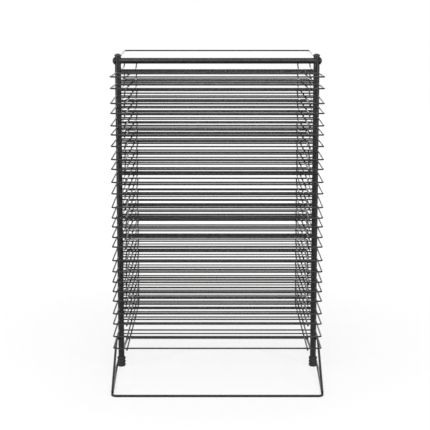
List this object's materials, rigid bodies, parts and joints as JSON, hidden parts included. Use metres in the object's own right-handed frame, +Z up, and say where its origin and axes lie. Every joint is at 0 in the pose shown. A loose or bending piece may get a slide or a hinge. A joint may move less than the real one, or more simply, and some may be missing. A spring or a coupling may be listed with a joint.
{
  "type": "art drying rack",
  "caption": "Tabletop drying rack for flat sheets: a tower of tilting wire shelves between two tube posts on a wire floor base.",
  "frame": {"origin": "on the floor, midway between the two posts", "axes": "+Z up, +X to the right as seen from the loading side, -Y towards the person who loads it"},
  "size_m": [0.4268, 0.402, 0.6575],
  "materials": {
    "coated_tube": "semi-gloss black coating",
    "coated_wire": "semi-gloss black coating over drawn wire",
    "coated_rod": "semi-gloss black coating over bent rod",
    "cap_plastic": "satin black moulding",
    "insert_plastic": "plain black moulding",
    "screw_steel": "black coated domed screw",
    "sleeve_rubber": "matt black rubber"
  },
  "bodies": {
    "frame": {"left_post": "coated_tube", "right_post": "coated_tube", "left_post_cap": "cap_plastic", "right_post_cap": "cap_plastic", "top_bar": "coated_tube", "bar_inserts": "insert_plastic", "bar_screws": "screw_steel", "top_guard": "coated_wire", "left_foot_sleeve": "sleeve_rubber", "right_foot_sleeve": "sleeve_rubber", "floor_loop": "coated_rod", "left_brace": "coated_rod", "right_brace": "coated_rod"},
    "shelf_01": {"shelf_01": "coated_wire"},
    "shelf_02": {"shelf_02": "coated_wire"},
    "shelf_03": {"shelf_03": "coated_wire"},
    "shelf_04": {"shelf_04": "coated_wire"},
    "shelf_05": {"shelf_05": "coated_wire"},
    "shelf_06": {"shelf_06": "coated_wire"},
    "shelf_07": {"shelf_07": "coated_wire"},
    "shelf_08": {"shelf_08": "coated_wire"},
    "shelf_09": {"shelf_09": "coated_wire"},
    "shelf_10": {"shelf_10": "coated_wire"},
    "shelf_11": {"shelf_11": "coated_wire"},
    "shelf_12": {"shelf_12": "coated_wire"},
    "shelf_13": {"shelf_13": "coated_wire"},
    "shelf_14": {"shelf_14": "coated_wire"},
    "shelf_15": {"shelf_15": "coated_wire"},
    "shelf_16": {"shelf_16": "coated_wire"},
    "shelf_17": {"shelf_17": "coated_wire"},
    "shelf_18": {"shelf_18": "coated_wire"},
    "shelf_19": {"shelf_19": "coated_wire"},
    "shelf_20": {"shelf_20": "coated_wire"},
    "shelf_21": {"shelf_21": "coated_wire"},
    "shelf_22": {"shelf_22": "coated_wire"},
    "shelf_23": {"shelf_23": "coated_wire"},
    "shelf_24": {"shelf_24": "coated_wire"},
    "shelf_25": {"shelf_25": "coated_wire"}
  },
  "joints": [
    {"name": "shelf_01_tilt", "type": "hinge", "parent": "frame", "child": "shelf_01", "pos_m": [0, 0, 0.092], "axis": [-1, 0, 0], "range_deg": [-3.5, 3.5]},
    {"name": "shelf_02_tilt", "type": "hinge", "parent": "frame", "child": "shelf_02", "pos_m": [0, 0, 0.114], "axis": [-1, 0, 0], "range_deg": [-3.5, 3.5]},
    {"name": "shelf_03_tilt", "type": "hinge", "parent": "frame", "child": "shelf_03", "pos_m": [0, 0, 0.136], "axis": [-1, 0, 0], "range_deg": [-3.5, 3.5]},
    {"name": "shelf_04_tilt", "type": "hinge", "parent": "frame", "child": "shelf_04", "pos_m": [0, 0, 0.158], "axis": [-1, 0, 0], "range_deg": [-3.5, 3.5]},
    {"name": "shelf_05_tilt", "type": "hinge", "parent": "frame", "child": "shelf_05", "pos_m": [0, 0, 0.18], "axis": [-1, 0, 0], "range_deg": [-3.5, 3.5]},
    {"name": "shelf_06_tilt", "type": "hinge", "parent": "frame", "child": "shelf_06", "pos_m": [0, 0, 0.202], "axis": [-1, 0, 0], "range_deg": [-3.5, 3.5]},
    {"name": "shelf_07_tilt", "type": "hinge", "parent": "frame", "child": "shelf_07", "pos_m": [0, 0, 0.224], "axis": [-1, 0, 0], "range_deg": [-3.5, 3.5]},
    {"name": "shelf_08_tilt", "type": "hinge", "parent": "frame", "child": "shelf_08", "pos_m": [0, 0, 0.246], "axis": [-1, 0, 0], "range_deg": [-3.5, 3.5]},
    {"name": "shelf_09_tilt", "type": "hinge", "parent": "frame", "child": "shelf_09", "pos_m": [0, 0, 0.268], "axis": [-1, 0, 0], "range_deg": [-3.2, 3.5]},
    {"name": "shelf_10_tilt", "type": "hinge", "parent": "frame", "child": "shelf_10", "pos_m": [0, 0, 0.29], "axis": [-1, 0, 0], "range_deg": [-3.5, 3.2]},
    {"name": "shelf_11_tilt", "type": "hinge", "parent": "frame", "child": "shelf_11", "pos_m": [0, 0, 0.312], "axis": [-1, 0, 0], "range_deg": [-3.5, 3.5]},
    {"name": "shelf_12_tilt", "type": "hinge", "parent": "frame", "child": "shelf_12", "pos_m": [0, 0, 0.334], "axis": [-1, 0, 0], "range_deg": [-3.5, 3.2]},
    {"name": "shelf_13_tilt", "type": "hinge", "parent": "frame", "child": "shelf_13", "pos_m": [0, 0, 0.356], "axis": [-1, 0, 0], "range_deg": [-3.2, 3.5]},
    {"name": "shelf_14_tilt", "type": "hinge", "parent": "frame", "child": "shelf_14", "pos_m": [0, 0, 0.378], "axis": [-1, 0, 0], "range_deg": [-3.2, 3.5]},
    {"name": "shelf_15_tilt", "type": "hinge", "parent": "frame", "child": "shelf_15", "pos_m": [0, 0, 0.4], "axis": [-1, 0, 0], "range_deg": [-3.5, 3.2]},
    {"name": "shelf_16_tilt", "type": "hinge", "parent": "frame", "child": "shelf_16", "pos_m": [0, 0, 0.422], "axis": [-1, 0, 0], "range_deg": [-3.5, 3.5]},
    {"name": "shelf_17_tilt", "type": "hinge", "parent": "frame", "child": "shelf_17", "pos_m": [0, 0, 0.444], "axis": [-1, 0, 0], "range_deg": [-3.5, 3.5]},
    {"name": "shelf_18_tilt", "type": "hinge", "parent": "frame", "child": "shelf_18", "pos_m": [0, 0, 0.466], "axis": [-1, 0, 0], "range_deg": [-3.5, 3.5]},
    {"name": "shelf_19_tilt", "type": "hinge", "parent": "frame", "child": "shelf_19", "pos_m": [0, 0, 0.488], "axis": [-1, 0, 0], "range_deg": [-3.5, 3.5]},
    {"name": "shelf_20_tilt", "type": "hinge", "parent": "frame", "child": "shelf_20", "pos_m": [0, 0, 0.51], "axis": [-1, 0, 0], "range_deg": [-3.5, 3.2]},
    {"name": "shelf_21_tilt", "type": "hinge", "parent": "frame", "child": "shelf_21", "pos_m": [0, 0, 0.532], "axis": [-1, 0, 0], "range_deg": [-3.2, 3.5]},
    {"name": "shelf_22_tilt", "type": "hinge", "parent": "frame", "child": "shelf_22", "pos_m": [0, 0, 0.554], "axis": [-1, 0, 0], "range_deg": [-3.5, 3.5]},
    {"name": "shelf_23_tilt", "type": "hinge", "parent": "frame", "child": "shelf_23", "pos_m": [0, 0, 0.576], "axis": [-1, 0, 0], "range_deg": [-2.7, 3.5]},
    {"name": "shelf_24_tilt", "type": "hinge", "parent": "frame", "child": "shelf_24", "pos_m": [0, 0, 0.598], "axis": [-1, 0, 0], "range_deg": [-3.5, 2.7]},
    {"name": "shelf_25_tilt", "type": "hinge", "parent": "frame", "child": "shelf_25", "pos_m": [0, 0, 0.62], "axis": [-1, 0, 0], "range_deg": [-3.5, 3.5]}
  ]
}
